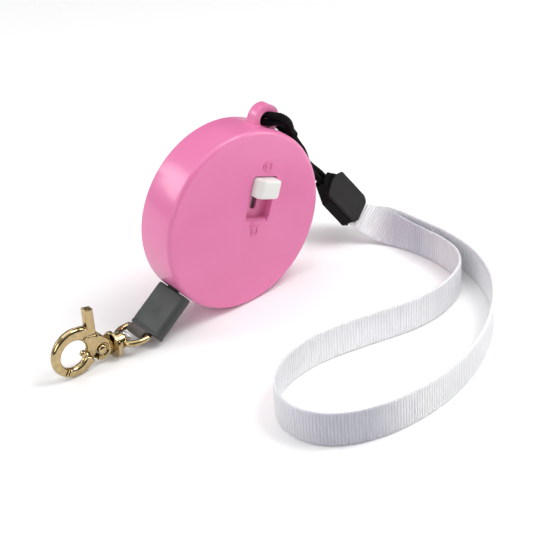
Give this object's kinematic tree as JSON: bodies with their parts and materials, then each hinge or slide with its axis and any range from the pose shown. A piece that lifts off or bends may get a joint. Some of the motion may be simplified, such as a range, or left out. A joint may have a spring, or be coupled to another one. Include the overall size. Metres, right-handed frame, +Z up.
{
  "type": "retractable leash",
  "caption": "Pocket-size retractable leash: round reel case with a slide lock, recoil tape, swivel trigger snap hook and a wrist loop of flat webbing on a lanyard cord.",
  "frame": {"origin": "centre of the flat rear face of the round case", "axes": "+X to the right seen from the front face, +Y from the front face to the rear face, +Z up; the case stands on its rim"},
  "size_m": [0.1466, 0.1078, 0.0691],
  "materials": {
    "case_pink": "satin moulded, pink",
    "steel": "zinc plated",
    "black_plastic": "fine texture, black",
    "brass": "turned",
    "white_plastic": "satin moulded, white",
    "spring_steel": "tempered blue-grey strip",
    "tape": "woven nylon, grey",
    "sleeve_rubber": "dark grey, satin",
    "gold_plate": "bright pale gold plate",
    "black_cord": "braided, black",
    "clip_face": "fine texture, charcoal",
    "webbing": "ribbed woven, white"
  },
  "bodies": {
    "case": {"front_case": "case_pink", "rear_cover": "case_pink", "case_screws": "steel", "outlet_guide": "black_plastic", "guide_pins": "steel", "arbor": "brass", "reel_washers": "steel", "tape_run": "tape"},
    "reel": {"reel": "white_plastic", "reel_cover": "white_plastic", "power_spring": "spring_steel", "tape_coil": "tape"},
    "lock": {"lock_knob": "white_plastic", "lock_plate": "black_plastic", "brake_pad": "sleeve_rubber", "detent_spring": "steel"},
    "lead": {"tape_lead": "tape", "tape_crimp": "steel", "lead_sleeve": "sleeve_rubber"},
    "eye": {"swivel_eye": "gold_plate"},
    "hook": {"hook_body": "gold_plate", "hook_rivet": "gold_plate", "trigger_spring": "steel"},
    "trigger": {"trigger": "gold_plate"},
    "strap": {"strap_cord": "black_cord", "cord_hitch": "black_cord", "clip_base": "black_plastic", "clip_cover": "clip_face", "wrist_webbing": "webbing"}
  },
  "joints": [
    {"name": "tape_pull", "type": "slide", "parent": "case", "child": "lead", "axis": [-1, 0, 0], "range_m": [0, 1.2], "stiffness_N_per_m": 2, "springref_m": -1},
    {"name": "reel_spin", "type": "hinge", "parent": "case", "child": "reel", "pos_m": [0, -0.0069, 0], "axis": [0, -1, 0], "range_deg": [0, 3400]},
    {"name": "lock_slide", "type": "slide", "parent": "case", "child": "lock", "axis": [0.3584, 0, 0.9336], "range_m": [-0.008, 0]},
    {"name": "eye_swing", "type": "hinge", "parent": "lead", "child": "eye", "pos_m": [-0.0441, -0.00825, -0.0282], "axis": [0, 1, 0], "range_deg": [-50, 60]},
    {"name": "swivel", "type": "hinge", "parent": "eye", "child": "hook", "pos_m": [-0.052, -0.00825, -0.0282], "axis": [-1, 0, 0], "continuous": true},
    {"name": "trigger_press", "type": "hinge", "parent": "hook", "child": "trigger", "pos_m": [-0.0594, -0.00825, -0.0272], "axis": [0, 1, 0], "range_deg": [0, 32], "stiffness_Nm_per_rad": 0.02, "springref_deg": -28.65},
    {"name": "strap_swing", "type": "hinge", "parent": "case", "child": "strap", "pos_m": [0.01707, -0.00825, 0.03079], "axis": [0, -1, 0], "range_deg": [0, 120]}
  ],
  "couplings": [
    {"joint": "reel_spin", "follows": "tape_pull", "rad_per_m": 49.3}
  ]
}
